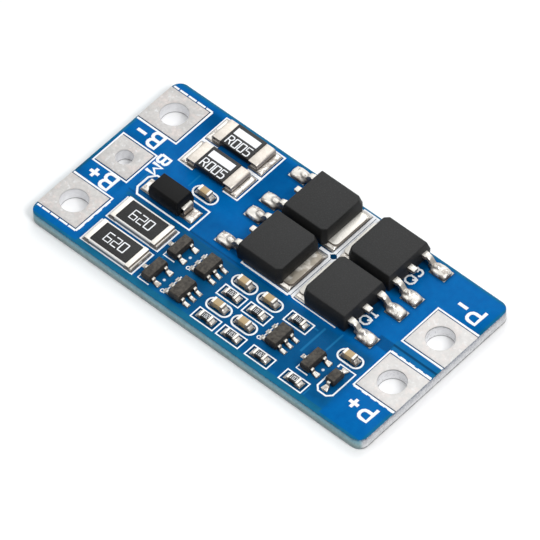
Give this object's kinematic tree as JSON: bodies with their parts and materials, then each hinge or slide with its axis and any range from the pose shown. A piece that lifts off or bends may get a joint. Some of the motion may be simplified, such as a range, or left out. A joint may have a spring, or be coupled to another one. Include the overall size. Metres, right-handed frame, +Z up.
{
  "type": "battery management board",
  "caption": "Blue battery management circuit board with bare plated terminal pads at both ends, power transistors, sense shunts, bleed resistors and small control parts.",
  "frame": {"origin": "centre of the board's underside", "axes": "+X along the board towards the output terminals, +Y across it towards the sense shunts, +Z up through the board towards its parts"},
  "size_m": [0.047, 0.0234, 0.004],
  "materials": {
    "solder_mask": "satin",
    "terminal_tin": "matte",
    "land_tin": "satin",
    "lead_metal": "satin",
    "solder": "polished",
    "package_plastic": "matte",
    "shunt_plastic": "satin",
    "diode_plastic": "gloss",
    "alumina": "matte",
    "black_glaze": "gloss",
    "capacitor_ceramic": "satin"
  },
  "bodies": {
    "root": {"board": "solder_mask", "battery_minus_pad": "terminal_tin", "battery_middle_pad": "terminal_tin", "battery_plus_pad": "terminal_tin", "output_minus_pad": "terminal_tin", "output_plus_pad": "terminal_tin", "component_lands": "land_tin", "power_transistor_1_body": "package_plastic", "power_transistor_1_leadframe": "lead_metal", "power_transistor_2_body": "package_plastic", "power_transistor_2_leadframe": "lead_metal", "power_transistor_3_body": "package_plastic", "power_transistor_3_leadframe": "lead_metal", "power_transistor_4_body": "package_plastic", "power_transistor_4_leadframe": "lead_metal", "sense_shunt_1_body": "shunt_plastic", "sense_shunt_1_straps": "lead_metal", "sense_shunt_2_body": "shunt_plastic", "sense_shunt_2_straps": "lead_metal", "bleed_resistor_1_block": "alumina", "bleed_resistor_1_terminals": "lead_metal", "bleed_resistor_2_block": "alumina", "bleed_resistor_2_terminals": "lead_metal", "bleed_resistor_glaze": "black_glaze", "power_diode_body": "diode_plastic", "power_diode_leads": "lead_metal", "small_diode_body": "package_plastic", "small_diode_leads": "lead_metal", "small_transistor_1_body": "package_plastic", "small_transistor_1_leads": "lead_metal", "small_transistor_2_body": "package_plastic", "small_transistor_2_leads": "lead_metal", "small_transistor_3_body": "package_plastic", "small_transistor_3_leads": "lead_metal", "control_chip_1_body": "package_plastic", "control_chip_1_leads": "lead_metal", "control_chip_2_body": "package_plastic", "control_chip_2_leads": "lead_metal", "control_chip_3_body": "package_plastic", "control_chip_3_leads": "lead_metal", "capacitor_1": "capacitor_ceramic", "capacitor_2": "capacitor_ceramic", "capacitor_3": "capacitor_ceramic", "capacitor_4": "capacitor_ceramic", "capacitor_5": "capacitor_ceramic", "capacitor_6": "capacitor_ceramic", "chip_resistor_1": "black_glaze", "chip_resistor_2": "black_glaze", "chip_resistor_3": "black_glaze", "chip_resistor_4": "black_glaze", "chip_resistor_5": "black_glaze", "chip_resistor_6": "black_glaze", "chip_resistor_7": "black_glaze", "capacitor_end_caps": "lead_metal", "chip_resistor_end_caps": "lead_metal", "power_solder": "solder", "package_solder": "solder", "chip_solder": "solder"}
  },
  "joints": []
}
